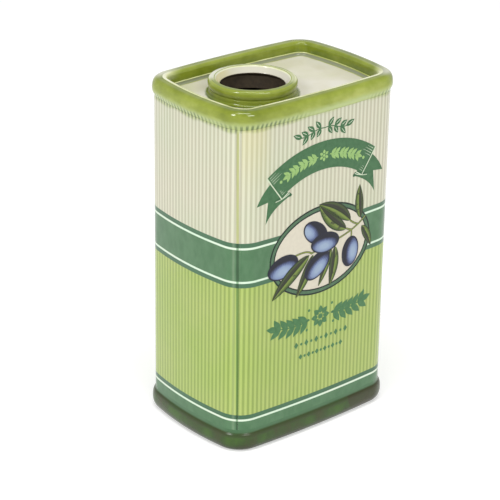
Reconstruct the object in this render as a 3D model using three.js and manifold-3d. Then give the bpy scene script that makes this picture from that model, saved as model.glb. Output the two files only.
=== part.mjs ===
// Oil can: a slip-cast, glazed ceramic canister in the shape of a square-shouldered oil tin.
// It has bowed faces, a rolled rim round a sunken deck, an open neck near one end of the deck,
// a moulded foot, and printed transfers fired onto the walls.
//
// Millimetres, +Z up. The origin is the middle of the footprint, on the surface it stands on.
// The two wide faces look along -Y (front) and +Y (back). The neck is towards -X.

import * as THREE from 'three';
import { mergeVertices } from 'three/addons/utils/BufferGeometryUtils.js';
import Module from 'manifold-3d';

const wasm = await Module();
wasm.setup();

// ---------------------------------------------------------------- driving dimensions

// The plan outline of the printed surface. Every other outline is an offset of this one.
const plan = {
  halfWidth: 53.5, // middle of a narrow face
  halfDepth: 38.2, // middle of a wide face
  wideRadius: 575, // bow of the wide faces
  narrowRadius: 160, // bow of the narrow faces
  cornerRadius: 13,
};

const level = {
  floorUnderside: 2, // inside the foot ring
  floorTop: 7,
  footTop: 12,
  wallTop: 168.5,
  printTop: 170.5,
  deckTop: 172.5,
  rimCrest: 179.3,
  neckLip: 180,
};

const wallThickness = 4;
const printThickness = 0.25; // a transfer, much thicker than the real film
const printGap = 0.05; // between a transfer and what it lies on
const seatGap = 0.3; // between the deck's edge and the rim

const neck = {
  x: -13.1,
  boreRadius: 16, // narrowest, at the bottom of the funnel
  throatRadius: 17.6, // under the funnel
  funnelRadius: 18, // at the lip
  flatInner: 18.8, // the lip's flat top runs from here
  flatOuter: 20.6, // to here
  beadRadius: 21.9,
  grooveRadius: 21.1,
  ringRadius: 21.3,
  footRadius: 22.5,
};

// Heights on the neck, below its lip.
const belowLip = {
  beadMiddle: 2.2,
  groove: 4.7,
  ring: 5.4,
  funnelEdge: 0.8,
  boreTop: 3.1,
  boreMiddle: 3.5,
  boreBottom: 3.9,
  throatShoulder: 4.4,
  throatTop: 5.4,
};

// Offsets of the foot's and the rim's sections from the printed surface.
const foot = {
  middle: -12, // the floor slab is capped from here to the middle
  ringInner: -8.5,
  ringOuter: -2.8,
  bulge: 1.5,
  bulgeHeight: 5.4,
  waist: -0.1, // above the bulge, at this height
  waistHeight: 10,
};

const rim = {
  bulge: 1.1,
  bulgeHeight: 174,
  crest: -2.2,
  topInner: -5.7, // the nearly level top ends here
  innerEdge: -6.4,
  wall: -7.1,
  seat: -7.2,
  covePlan: -9, // where the cove runs out on the deck
  coveTop: 173.9,
};

const arcSteps = 3; // half the number of facets in each arc of the plan
const curveSteps = 3; // facets in each curve of a section
const lathePanels = 56;

// ---------------------------------------------------------------- materials

const glaze = (color, roughness) => new THREE.MeshStandardMaterial({ color, roughness, metalness: 0 });
const creamGlaze = glaze(0xe2dfd3, 0.25);
const footGlaze = glaze(0x46553a, 0.2);
const rimGlaze = glaze(0x93aa3c, 0.15);
const wrapPrint = glaze(0xc6d39c, 0.3);
const greenPrint = glaze(0x4f8460, 0.3);
const medallionPrint = glaze(0x6f8392, 0.3);

// ---------------------------------------------------------------- plan outline

// The corner arc touches both face arcs, so its centre is where two circles cross.
function cornerCentre() {
  const wideCentre = new THREE.Vector2(0, plan.halfDepth - plan.wideRadius);
  const narrowCentre = new THREE.Vector2(plan.halfWidth - plan.narrowRadius, 0);
  const wideReach = plan.wideRadius - plan.cornerRadius;
  const narrowReach = plan.narrowRadius - plan.cornerRadius;
  const between = narrowCentre.clone().sub(wideCentre);
  const distance = between.length();
  const along = (wideReach ** 2 - narrowReach ** 2 + distance ** 2) / (2 * distance);
  const across = Math.sqrt(wideReach ** 2 - along ** 2);
  const unit = between.normalize();
  const side = new THREE.Vector2(unit.y, -unit.x);
  return wideCentre.clone().addScaledVector(unit, along).addScaledVector(side, across);
}

const corner = cornerCentre();
const wideHalfAngle = Math.atan2(corner.x, corner.y - (plan.halfDepth - plan.wideRadius));
const narrowHalfAngle = Math.atan2(corner.y, corner.x - (plan.halfWidth - plan.narrowRadius));

// The eight arcs of the outline, anticlockwise from the near end of the right-hand narrow face.
function planArcs(offset) {
  const arcs = [];
  for (const flip of [1, -1]) {
    const turn = flip === 1 ? 0 : Math.PI;
    const add = (x, y, radius, from, to) =>
      arcs.push({ x: flip * x, y: flip * y, radius: radius + offset, from: from + turn, to: to + turn });
    const narrowX = plan.halfWidth - plan.narrowRadius;
    const wideY = plan.halfDepth - plan.wideRadius;
    const quarter = Math.PI / 2;
    add(narrowX, 0, plan.narrowRadius, -narrowHalfAngle, narrowHalfAngle);
    add(corner.x, corner.y, plan.cornerRadius, narrowHalfAngle, quarter - wideHalfAngle);
    add(0, wideY, plan.wideRadius, quarter - wideHalfAngle, quarter + wideHalfAngle);
    add(-corner.x, corner.y, plan.cornerRadius, quarter + wideHalfAngle, Math.PI - narrowHalfAngle);
  }
  return arcs;
}

function planShape(offset) {
  const shape = new THREE.Shape();
  for (const arc of planArcs(offset)) {
    shape.absarc(arc.x, arc.y, arc.radius, arc.from, arc.to, false);
  }
  return shape;
}

// Points of the outline, without the repeats where one arc ends and the next begins.
function planPoints(offset) {
  const points = [];
  for (const arc of planArcs(offset)) {
    const count = 2 * arcSteps;
    for (let i = 0; i < count; i += 1) {
      const angle = arc.from + ((arc.to - arc.from) * i) / count;
      points.push(new THREE.Vector2(
        arc.x + arc.radius * Math.cos(angle),
        arc.y + arc.radius * Math.sin(angle),
      ));
    }
  }
  return points;
}

// ---------------------------------------------------------------- builders

// Carries a section round the plan. The section's points are (offset, height) pairs, taken
// anticlockwise with the outside of the can to the right. A closed section makes a ring. An
// open one starts and ends at the middle of the can, and is capped there at both ends.
function sweep(section, closed) {
  const rings = section.map((p) => planPoints(p.x).map((q) => [q.x, q.y, p.y]));
  const around = rings[0].length;
  const positions = rings.flat(2);
  const triangles = [];
  const spans = closed ? rings.length : rings.length - 1;
  for (let i = 0; i < spans; i += 1) {
    const low = i * around;
    const high = ((i + 1) % rings.length) * around;
    for (let j = 0; j < around; j += 1) {
      const next = (j + 1) % around;
      triangles.push(low + j, low + next, high + next, low + j, high + next, high + j);
    }
  }
  if (!closed) {
    const first = positions.length / 3;
    const last = (rings.length - 1) * around;
    positions.push(0, 0, section[0].y, 0, 0, section[section.length - 1].y);
    for (let j = 0; j < around; j += 1) {
      const next = (j + 1) % around;
      triangles.push(first, next, j);
      triangles.push(first + 1, last + j, last + next);
    }
  }
  const geometry = new THREE.BufferGeometry();
  geometry.setAttribute('position', new THREE.Float32BufferAttribute(positions, 3));
  geometry.setIndex(triangles);
  geometry.computeVertexNormals();
  return geometry;
}

// The points of a section's path, with the point that closes it left out.
function sectionPoints(path) {
  const points = path.getPoints(curveSteps);
  const first = points[0];
  const last = points[points.length - 1];
  if (first.distanceTo(last) < 1e-6) points.pop();
  return points;
}

// Makes an upright prism of a plan shape between two heights.
function prism(shape, bottom, top, segments = 2 * arcSteps) {
  const geometry = new THREE.ExtrudeGeometry(shape, {
    depth: top - bottom,
    bevelEnabled: false,
    curveSegments: segments,
  });
  geometry.translate(0, 0, bottom);
  return geometry;
}

function toSolid(geometry) {
  const bare = geometry.clone();
  bare.deleteAttribute('normal');
  bare.deleteAttribute('uv');
  const merged = mergeVertices(bare, 1e-5);
  return new wasm.Manifold(new wasm.Mesh({
    numProp: 3,
    vertProperties: new Float32Array(merged.attributes.position.array),
    triVerts: new Uint32Array(merged.index.array),
  }));
}

function toGeometry(solid) {
  const mesh = solid.getMesh();
  const geometry = new THREE.BufferGeometry();
  geometry.setAttribute('position', new THREE.BufferAttribute(mesh.vertProperties, 3));
  geometry.setIndex(new THREE.BufferAttribute(mesh.triVerts, 1));
  geometry.computeVertexNormals();
  return geometry;
}

const can = new THREE.Group();

function add(name, geometry, material) {
  const mesh = new THREE.Mesh(geometry, material);
  mesh.name = name;
  can.add(mesh);
  return mesh;
}

// ---------------------------------------------------------------- ceramic body

// The foot: a floor slab, a half-round moulding outside, and a flat ring underneath that the
// can stands on. A shallow recess inside the ring keeps the floor off the table.
function baseFoot() {
  const { ringInner, ringOuter, bulge, bulgeHeight, waist, waistHeight } = foot;
  const wallInside = -wallThickness - printGap - printThickness;
  const path = new THREE.Path();
  path.moveTo(foot.middle, level.floorUnderside);
  path.lineTo(ringInner - 1, level.floorUnderside);
  path.quadraticCurveTo(ringInner, level.floorUnderside, ringInner, 0);
  path.lineTo(ringOuter, 0);
  path.bezierCurveTo(ringOuter + 3, 0, bulge, bulgeHeight - 3, bulge, bulgeHeight);
  path.bezierCurveTo(bulge, bulgeHeight + 3, bulge - 0.6, waistHeight - 0.3, waist, waistHeight);
  path.quadraticCurveTo(waist - 0.1, waistHeight + 0.4, 0, level.footTop - 0.8);
  path.lineTo(0, level.footTop);
  path.lineTo(wallInside, level.footTop);
  path.quadraticCurveTo(wallInside - 0.7, level.floorTop, foot.middle + 2, level.floorTop);
  path.lineTo(foot.middle, level.floorTop);
  add('base_foot', sweep(sectionPoints(path), false), footGlaze);
}

// The four walls in one tube, with a shoulder inside the top that carries the rim and deck.
function bodyWalls() {
  const outside = -printGap - printThickness;
  const inside = outside - wallThickness;
  const shoulder = -10;
  const shoulderDepth = 11; // the shoulder fades into the wall over this height
  const path = new THREE.Path();
  path.moveTo(outside, level.footTop);
  path.lineTo(outside, level.wallTop);
  path.lineTo(shoulder, level.wallTop);
  path.bezierCurveTo(
    shoulder + 0.2, level.wallTop - 4,
    inside, level.wallTop - 6,
    inside, level.wallTop - shoulderDepth,
  );
  path.lineTo(inside, level.footTop);
  path.closePath();
  add('body_walls', sweep(sectionPoints(path), true), creamGlaze);
}

// The rolled rim: a skirt behind the top of the print, a soft bulge outside, a gently falling
// top, a steep inner face, and a small cove where it meets the deck.
function topRim() {
  const { bulge, bulgeHeight, crest, topInner, innerEdge, wall, seat, covePlan, coveTop } = rim;
  const skirt = -printGap - printThickness;
  const top = level.rimCrest;
  const path = new THREE.Path();
  path.moveTo(seat, level.wallTop);
  path.lineTo(skirt, level.wallTop);
  path.lineTo(skirt, level.printTop);
  path.lineTo(0, level.printTop);
  path.quadraticCurveTo(bulge, level.printTop + 1.1, bulge, bulgeHeight);
  path.bezierCurveTo(bulge, bulgeHeight + 3, crest + 2, top, crest, top);
  path.bezierCurveTo(crest - 1.6, top, topInner, top - 0.1, innerEdge, top - 0.6);
  path.quadraticCurveTo(innerEdge - 0.7, top - 1.2, wall, coveTop + 0.4);
  path.quadraticCurveTo(seat, coveTop, seat - 0.5, level.deckTop + 0.6);
  path.quadraticCurveTo(seat - 0.9, level.deckTop, covePlan, level.deckTop);
  path.lineTo(seat, level.deckTop);
  path.closePath();
  add('top_rim', sweep(sectionPoints(path), true), rimGlaze);
}

// The sunken deck: a flat plate on the walls' shoulder, with the hole under the neck.
function topDeck() {
  const shape = planShape(rim.seat - seatGap);
  const hole = new THREE.Path();
  hole.absarc(neck.x, 0, neck.throatRadius, 0, 2 * Math.PI, false);
  shape.holes.push(hole);
  add('top_deck', prism(shape, level.wallTop, level.deckTop, 4 * arcSteps), creamGlaze);
}

// The neck: a flared foot, a thin ring, a groove and a heavy bead with a flat lip. Inside, a
// funnel narrows to the bore and opens again below it.
function neckCollar() {
  const lip = level.neckLip;
  const base = level.deckTop;
  const { boreRadius, throatRadius, funnelRadius, flatInner, flatOuter } = neck;
  const { beadRadius, grooveRadius, ringRadius, footRadius } = neck;
  const path = new THREE.Path();
  path.moveTo(throatRadius, base);
  path.lineTo(footRadius, base);
  path.quadraticCurveTo(ringRadius + 0.2, base + 0.2, ringRadius, base + 1.3);
  path.quadraticCurveTo(ringRadius, lip - belowLip.ring, grooveRadius, lip - belowLip.groove);
  path.quadraticCurveTo(beadRadius, lip - belowLip.groove, beadRadius, lip - belowLip.beadMiddle);
  path.quadraticCurveTo(beadRadius, lip, flatOuter, lip);
  path.lineTo(flatInner, lip);
  path.quadraticCurveTo(funnelRadius, lip, funnelRadius - 0.3, lip - belowLip.funnelEdge);
  path.lineTo(boreRadius, lip - belowLip.boreTop);
  const { boreMiddle, boreBottom, throatShoulder, throatTop } = belowLip;
  path.quadraticCurveTo(boreRadius - 0.2, lip - boreMiddle, boreRadius + 0.3, lip - boreBottom);
  path.quadraticCurveTo(throatRadius, lip - throatShoulder, throatRadius, lip - throatTop);
  path.closePath();
  const points = path.getPoints(curveSteps);
  points[points.length - 1].copy(points[0]);
  const geometry = new THREE.LatheGeometry(points, lathePanels);
  geometry.rotateX(Math.PI / 2);
  const collar = add('neck_collar', geometry, rimGlaze);
  collar.position.x = neck.x;
}

// ---------------------------------------------------------------- printed transfers

// Two wraps meet in upright seams at the front left and back right corners. Each one covers a
// wide face, a narrow face, and the corner between them.
function wrapTransfers() {
  const seamHalfGap = 0.01; // radians at a corner's centre
  const outer = planArcs(0);
  const inner = planArcs(-printThickness);
  // Places in the list of arcs: each wrap starts and ends in the middle of a corner arc.
  const wraps = {
    wrap_transfer_front: [5, 6, 7, 0, 1],
    wrap_transfer_back: [1, 2, 3, 4, 5],
  };
  for (const [name, order] of Object.entries(wraps)) {
    const spans = order.map((index, place) => {
      const { from, to } = outer[index];
      const seam = (from + to) / 2;
      return {
        index,
        from: place === 0 ? seam + seamHalfGap : from,
        to: place === order.length - 1 ? seam - seamHalfGap : to,
      };
    });
    const shape = new THREE.Shape();
    for (const { index, from, to } of spans) {
      const arc = outer[index];
      shape.absarc(arc.x, arc.y, arc.radius, from, to, false);
    }
    for (const { index, from, to } of spans.reverse()) {
      const arc = inner[index];
      shape.absarc(arc.x, arc.y, arc.radius, to, from, true);
    }
    add(name, prism(shape, level.footTop, level.printTop - 0.1), wrapPrint);
  }
}

// A transfer on a wide face: a thin bowed sheet, cut to an outline drawn in elevation (x, z).
function faceTransfer(name, outline, material) {
  const reach = 44;
  const halfAngle = Math.asin(reach / plan.wideRadius);
  const centreY = plan.wideRadius - plan.halfDepth;
  const down = -Math.PI / 2;
  const band = new THREE.Shape();
  band.absarc(0, centreY, plan.wideRadius + printGap + printThickness, down - halfAngle, down + halfAngle, false);
  band.absarc(0, centreY, plan.wideRadius + printGap, down + halfAngle, down - halfAngle, true);
  const sheet = toSolid(prism(band, level.footTop + 2, level.printTop - 2, 12));
  const cutter = new THREE.ExtrudeGeometry(outline, { depth: 50, bevelEnabled: false, curveSegments: 10 });
  cutter.rotateX(Math.PI / 2);
  const geometry = toGeometry(sheet.intersect(toSolid(cutter)));
  add(`${name}_front`, geometry, material);
  const back = add(`${name}_back`, geometry.clone(), material);
  back.rotation.z = Math.PI;
}

// The outline of each motif. The detail inside it is printing.
function garlandOutline() {
  const upper = { x: 20.5, z: 161, middleZ: 171 };
  const lower = { x: 14.5, z: 155.5, middleZ: 161 };
  const shape = new THREE.Shape();
  shape.moveTo(-upper.x, upper.z);
  shape.quadraticCurveTo(0, upper.middleZ, upper.x, upper.z);
  shape.lineTo(lower.x, lower.z);
  shape.quadraticCurveTo(0, lower.middleZ, -lower.x, lower.z);
  shape.closePath();
  return shape;
}

// A banner arched over the medallion, with a hanging tail at each end.
function ribbonOutline() {
  const centreZ = 100;
  const outer = 56.3;
  const inner = 41.6;
  const half = 0.67; // radians either side of the top
  const fold = 0.2; // radians between the arch's end and its fold, on the inner edge
  const top = Math.PI / 2;
  const notch = { x: 41, z: 130.5 };
  const tip = { x: 34.6, z: 120 };
  const hem = { x: 19.4, z: 133.4 };
  const shape = new THREE.Shape();
  shape.absarc(0, centreZ, outer, top - half, top + half, false);
  shape.lineTo(-notch.x, notch.z);
  shape.lineTo(-tip.x, tip.z);
  shape.lineTo(-hem.x, hem.z);
  shape.absarc(0, centreZ, inner, top + half - fold, top - half + fold, true);
  shape.lineTo(hem.x, hem.z);
  shape.lineTo(tip.x, tip.z);
  shape.lineTo(notch.x, notch.z);
  shape.closePath();
  return shape;
}

function medallionOutline() {
  const centre = { x: 0.7, z: 98.9 };
  const halfWidth = 33.3;
  const halfHeight = 24.1;
  const shape = new THREE.Shape();
  shape.absellipse(centre.x, centre.z, halfWidth, halfHeight, 0, 2 * Math.PI, false, 0);
  return shape;
}

function panelOutline(halfWidth, bottom, top) {
  const shape = new THREE.Shape();
  shape.moveTo(-halfWidth, bottom);
  shape.lineTo(halfWidth, bottom);
  shape.lineTo(halfWidth, top);
  shape.lineTo(-halfWidth, top);
  shape.closePath();
  return shape;
}

baseFoot();
bodyWalls();
topRim();
topDeck();
neckCollar();
wrapTransfers();
faceTransfer('garland_transfer', garlandOutline(), greenPrint);
faceTransfer('ribbon_transfer', ribbonOutline(), greenPrint);
faceTransfer('medallion_transfer', medallionOutline(), medallionPrint);
faceTransfer('scroll_transfer', panelOutline(34, 55.8, 68.8), greenPrint);
faceTransfer('rule_transfer', panelOutline(19.5, 41.4, 51.4), greenPrint);

export default can;
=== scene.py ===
"""Oil can: a glazed ceramic canister with printed transfers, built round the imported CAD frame.

Lengths are millimetres in the frame's axes until a mesh is made, and metres from there on.
The can stands on z = 0. Its wide faces look along -Y (front) and +Y (back).
"""

import math

import bpy
from mathutils import Matrix, Vector


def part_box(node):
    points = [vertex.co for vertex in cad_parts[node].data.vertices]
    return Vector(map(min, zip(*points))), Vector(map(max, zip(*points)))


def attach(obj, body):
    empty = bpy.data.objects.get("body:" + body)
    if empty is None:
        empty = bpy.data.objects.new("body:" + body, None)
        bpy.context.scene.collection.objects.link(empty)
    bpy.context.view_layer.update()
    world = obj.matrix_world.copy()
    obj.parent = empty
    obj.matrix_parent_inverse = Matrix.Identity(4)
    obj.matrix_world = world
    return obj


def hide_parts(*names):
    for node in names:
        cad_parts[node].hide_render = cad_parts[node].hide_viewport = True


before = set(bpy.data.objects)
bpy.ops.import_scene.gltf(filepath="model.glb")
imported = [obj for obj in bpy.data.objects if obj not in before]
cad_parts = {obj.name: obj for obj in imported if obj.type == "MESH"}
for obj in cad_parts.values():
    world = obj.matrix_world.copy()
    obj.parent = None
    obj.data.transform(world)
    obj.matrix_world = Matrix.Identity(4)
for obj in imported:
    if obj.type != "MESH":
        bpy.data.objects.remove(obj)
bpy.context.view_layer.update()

MM = 0.001


def span(node):
    """The lowest and highest corner of a CAD node, in millimetres."""
    low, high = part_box(node)
    return low / MM, high / MM


# ---------------- sizes from the frame

wrap_low, wrap_high = span("wrap_transfer_front")
neck_low, neck_high = span("neck_collar")

HALF_WIDTH = wrap_high.x  # the printed surface, at the middle of a narrow face
HALF_DEPTH = -wrap_low.y  # and at the middle of a wide face
WIDE_RADIUS = 575.0  # bow of the wide faces
NARROW_RADIUS = 160.0  # bow of the narrow faces
CORNER_RADIUS = 13.0

FLOOR_UNDERSIDE = 2.0
FLOOR_TOP = 7.0
FOOT_TOP = span("base_foot")[1].z
WALL_TOP = span("body_walls")[1].z
DECK_TOP = span("top_deck")[1].z
RIM_CREST = span("top_rim")[1].z
NECK_LIP = neck_high.z
NECK_X = (neck_low.x + neck_high.x) / 2
NECK_RADIUS = neck_high.x - NECK_X
NECK_BORE = 17.6  # the hole in the deck, and the inside of the neck

PRINT_TOP = WALL_TOP + 2.0
PRINT_THICKNESS = 0.25
PRINT_GAP = 0.05
BODY_FACE = -PRINT_GAP - PRINT_THICKNESS  # the ceramic under the print, inwards of its surface
WALL_THICKNESS = 4.0
WALL_INSIDE = BODY_FACE - WALL_THICKNESS
FILM = 0.02  # how far each printed layer stands above the one below

# The printed bands, by height: two white lines on a green band, and one above the foot.
UPPER_LINE = 110.1
LOWER_LINE = 92.5
BOTTOM_LINE = 17.4
LINE_HALF = 0.55
RULE_WIDTH = 2.9  # of the darker green beside each line
STRIPES_PER_WRAP = 65
STRIPE_PHASE = 0.58  # brings a dark stripe to the middle of the front

SEEN_UNDER_GLAZE = -1.5  # print may show through the rim's glaze outside this offset

WIDE_STEPS, NARROW_STEPS, CORNER_STEPS = 32, 20, 18
SHARP_ANGLE = math.radians(40)


# ---------------- curves

def arc(centre, radius, start, end, steps, squash=1.0):
    """Points of an arc. Angles run anticlockwise from the first axis."""
    angles = [start + (end - start) * i / steps for i in range(steps + 1)]
    return [Vector((centre[0] + radius * math.cos(a), centre[1] + radius * squash * math.sin(a)))
            for a in angles]


def bezier(*controls, steps=16):
    """Points of a Bezier curve through any number of control points."""
    points = []
    for i in range(steps + 1):
        level = [Vector(c) for c in controls]
        while len(level) > 1:
            level = [a.lerp(b, i / steps) for a, b in zip(level, level[1:])]
        points.append(level[0])
    return points


def direction(azimuth, elevation):
    """A unit vector from the can. Azimuth 0 is in front of it and -90 degrees to its left."""
    level = math.cos(elevation)
    return Vector((math.sin(azimuth) * level, -math.cos(azimuth) * level, math.sin(elevation)))


# ---------------- plan outline

WIDE_CENTRE = Vector((0, HALF_DEPTH - WIDE_RADIUS))  # of the back's arc
NARROW_CENTRE = Vector((HALF_WIDTH - NARROW_RADIUS, 0))  # of the right side's arc


def corner_centre():
    """The corner arc touches both face arcs, so its centre is where two circles cross."""
    wide_reach = WIDE_RADIUS - CORNER_RADIUS
    narrow_reach = NARROW_RADIUS - CORNER_RADIUS
    between = NARROW_CENTRE - WIDE_CENTRE
    distance = between.length
    along = (wide_reach ** 2 - narrow_reach ** 2 + distance ** 2) / (2 * distance)
    across = math.sqrt(wide_reach ** 2 - along ** 2)
    unit = between / distance
    return WIDE_CENTRE + unit * along + Vector((unit.y, -unit.x)) * across


CORNER = corner_centre()
WIDE_HALF_ANGLE = math.atan2(CORNER.x, CORNER.y - (HALF_DEPTH - WIDE_RADIUS))
NARROW_HALF_ANGLE = math.atan2(CORNER.y, CORNER.x - (HALF_WIDTH - NARROW_RADIUS))


def plan_arcs():
    """The outline's arcs, anticlockwise from the seam in the front left corner, where the arc is
    in two halves. Each is (centre, radius, from angle, to angle, steps)."""
    front = 1.5 * math.pi
    left, right = front - WIDE_HALF_ANGLE, front + WIDE_HALF_ANGLE
    seam = (math.pi / 2 - WIDE_HALF_ANGLE + NARROW_HALF_ANGLE) / 2
    half = [
        (-CORNER, CORNER_RADIUS, math.pi + seam, left, CORNER_STEPS // 2),
        (-WIDE_CENTRE, WIDE_RADIUS, left, right, WIDE_STEPS),
        (Vector((CORNER.x, -CORNER.y)), CORNER_RADIUS, right, 2 * math.pi - NARROW_HALF_ANGLE,
         CORNER_STEPS),
        (NARROW_CENTRE, NARROW_RADIUS, -NARROW_HALF_ANGLE, NARROW_HALF_ANGLE, NARROW_STEPS),
        (CORNER, CORNER_RADIUS, NARROW_HALF_ANGLE, seam, CORNER_STEPS // 2),
    ]
    return half + [(-c, r, a + math.pi, b + math.pi, n) for c, r, a, b, n in half]


ARCS = plan_arcs()
WRAP_LENGTH = sum(radius * (end - start) for _, radius, start, end, _ in ARCS[:5])


def outline(offset, arcs=ARCS):
    """Points of the plan, offset outwards, from the start of the first arc to the end of the last."""
    points = []
    for centre, radius, start, end, steps in arcs:
        points = points[:-1] + arc(centre, radius + offset, start, end, steps)
    return points


def distances(arcs=ARCS):
    """How far round the printed surface each point of the outline is, from the first one."""
    found = [0.0]
    for _, radius, start, end, steps in arcs:
        length = radius * (end - start)
        found += [found[-1] + length * i / steps for i in range(1, steps + 1)]
    return found


# ---------------- mesh building

class Section:
    """A path in (offset, height), made of lines and Bezier curves. Each point also has a glaze
    thickness, from 0, bare, to 1, deep, and a number that marks the edges where painted reflections
    and highlights pale the glaze and, below zero, where painted shade is put."""

    def __init__(self, x, z, glaze=1.0):
        self.points = [(x, z, glaze, 0.0)]

    def to(self, *controls, glaze=None, edge=0.0, steps=8):
        """A line to one point, or a curve through control points to the last."""
        x, z, first_glaze, first_edge = self.points[-1]
        last_glaze = first_glaze if glaze is None else glaze
        if len(controls) == 1 and glaze is None and edge == first_edge:
            steps = 1
        for i, p in enumerate(bezier((x, z), *controls, steps=steps)[1:], 1):
            t = i / steps
            self.points.append((p.x, p.y, first_glaze + (last_glaze - first_glaze) * t,
                                first_edge + (edge - first_edge) * t))


def add(name, data):
    """A new object in the scene."""
    thing = bpy.data.objects.new(name, data)
    bpy.context.scene.collection.objects.link(thing)
    return thing


def make_mesh(name, points, faces, values, materials, chosen=()):
    """One mesh from points in millimetres. values holds a list for each attribute, with one
    number for each point, or for each face corner if its list is that long. chosen is each
    face's place in the list of materials."""
    mesh = bpy.data.meshes.new(name)
    mesh.from_pydata([Vector(p) * MM for p in points], [], faces)
    for label, numbers in values.items():
        domain = "POINT" if len(numbers) == len(points) else "CORNER"
        mesh.attributes.new(label, "FLOAT", domain).data.foreach_set("value", numbers)
    for material in materials:
        mesh.materials.append(material)
    if chosen:
        mesh.polygons.foreach_set("material_index", chosen)
    mesh.shade_smooth()
    mesh.set_sharp_from_angle(angle=SHARP_ANGLE)
    return add(name, mesh)


def stand_for(piece, node, slot):
    """The piece rides on the can, and is shown in place of a CAD node."""
    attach(piece, "root")
    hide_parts(node)


def neighbours(count):
    """Each number below count with the next one round."""
    return [(j, (j + 1) % count) for j in range(count)]


def tube(path, ring, part, closed=True):
    """Points and faces of a path carried round. ring(x, z) gives the points for one place on the
    path, and part(x, z) the material for the faces between it and the next."""
    rings = [ring(x, z) for x, z, *_ in path]
    around = len(rings[0])
    faces, chosen = [], []
    for i, (x, z, *_) in enumerate(path if closed else path[:-1]):
        low, high = i * around, (i + 1) % len(path) * around
        faces += [(low + j, low + k, high + k, high + j) for j, k in neighbours(around)]
        chosen += [part(x, z)] * around
    return [p for points in rings for p in points], faces, chosen


def spread(path, around):
    """The glaze and edge numbers of a section's path, for all the points carried round."""
    return {label: [place[n] for place in path for _ in range(around)]
            for label, n in (("glaze", 2), ("edge", 3))}


def sweep(name, section, materials, part=lambda x, z: 0, closed=True):
    """Carries a section round the whole plan. An open section is capped at the middle."""
    path = section.points[:-1] if closed else section.points
    points, faces, chosen = tube(path, lambda x, z: [(*p, z) for p in outline(x)[:-1]], part, closed)
    travelled = distances()
    around = len(travelled) - 1
    values = spread(path, around)
    values["outer"] = [float(x > SEEN_UNDER_GLAZE) for x, *_ in path for _ in range(around)]
    along = [travelled[n] for j in range(around) for n in (j, j + 1, j + 1, j)]
    along *= len(faces) // around
    caps = () if closed else ((path[0], 0, -1), (path[-1], len(points) - around, 1))
    for (x, z, glaze, _), low, turn in caps:
        for j, k in neighbours(around):
            faces.append((len(points), low + j, low + k)[::turn])
            along += [travelled[j]] * 3
        chosen += [part(x, z)] * around
        points.append((0, 0, z))
        values["glaze"].append(glaze)
        values["edge"].append(0.0)
        values["outer"].append(0.0)
    return make_mesh(name, points, faces, {**values, "along": along}, materials, chosen)


def lathe(name, section, centre_x, materials, part, panels=96):
    """Turns a closed section of (radius, height) points about an upright axis."""
    path = section.points[:-1]

    def ring(radius, z):
        return [(*p, z) for p in arc((centre_x, 0), radius, 0, 2 * math.pi, panels)[:-1]]

    points, faces, chosen = tube(path, ring, part)
    return make_mesh(name, points, faces, spread(path, panels), materials, chosen)


def film(rows, width):
    """Faces of a closed film: an outer grid of points, an inner one numbered after it, and the
    border between them."""
    under = rows * width
    faces = []
    for i in range(rows - 1):
        for j in range(width - 1):
            a = i * width + j
            top = (a, a + 1, a + width + 1, a + width)
            faces += [top, tuple(q + under for q in reversed(top))]
    border = [(i * width, (i + 1) * width) for i in range(rows - 1)]
    border += [((i + 2) * width - 1, (i + 1) * width - 1) for i in range(rows - 1)]
    border += [(under - width + j, under - width + j + 1) for j in range(width - 1)]
    border += [(j + 1, j) for j in range(width - 1)]
    return faces + [(a, b, b + under, a + under) for a, b in border]


# ---------------- materials

def colour(code):
    """A colour written as six hexadecimal digits in sRGB, as a linear colour."""
    channels = [int(code[i:i + 2], 16) / 255 for i in (0, 2, 4)]
    linear = [c / 12.92 if c <= 0.04045 else ((c + 0.055) / 1.055) ** 2.4 for c in channels]
    return (*linear, 1.0)


def sign(operation, swapped=False):
    """The method for one arithmetic sign. It adds a math node."""
    def method(self, other=0.0):
        pair = (other, self) if swapped else (self, other)
        return self.glaze.math(operation, *pair)
    return method


class Signal:
    """A number that varies over a surface. What is done with it adds the nodes that do it."""

    def __init__(self, glaze, socket):
        self.glaze, self.socket = glaze, socket

    __add__ = sign("ADD")
    __mul__ = sign("MULTIPLY")
    __truediv__ = sign("DIVIDE")
    __sub__ = sign("SUBTRACT")
    __rsub__ = sign("SUBTRACT", swapped=True)
    __abs__ = sign("ABSOLUTE")

    def ease(self, start, end):
        """0 up to start and 1 from end on, smooth in between. start may be the larger."""
        ends = {"Value": self, "From Min": start, "From Max": end}
        node = self.glaze.node("MapRange", ends, interpolation_type="SMOOTHSTEP")
        return Signal(self.glaze, node.outputs[0])

    def band(self, low, high, soft):
        """1 from low to high, with soft edges."""
        rise = self.ease(low - soft, low + soft)
        fall = self.ease(high - soft, high + soft)
        return self.glaze.math("SUBTRACT", rise, fall, clamp=True)

    def ramp(self, *stops):
        """A colour ramp through (position, colour code) stops."""
        node = self.glaze.node("ValToRGB", {"Fac": self})
        elements = node.color_ramp.elements
        while len(elements) < len(stops):
            elements.new(0.5)
        for element, (position, code) in zip(elements, stops):
            element.position = position
            element.color = colour(code)
        return node.outputs["Color"]


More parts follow.
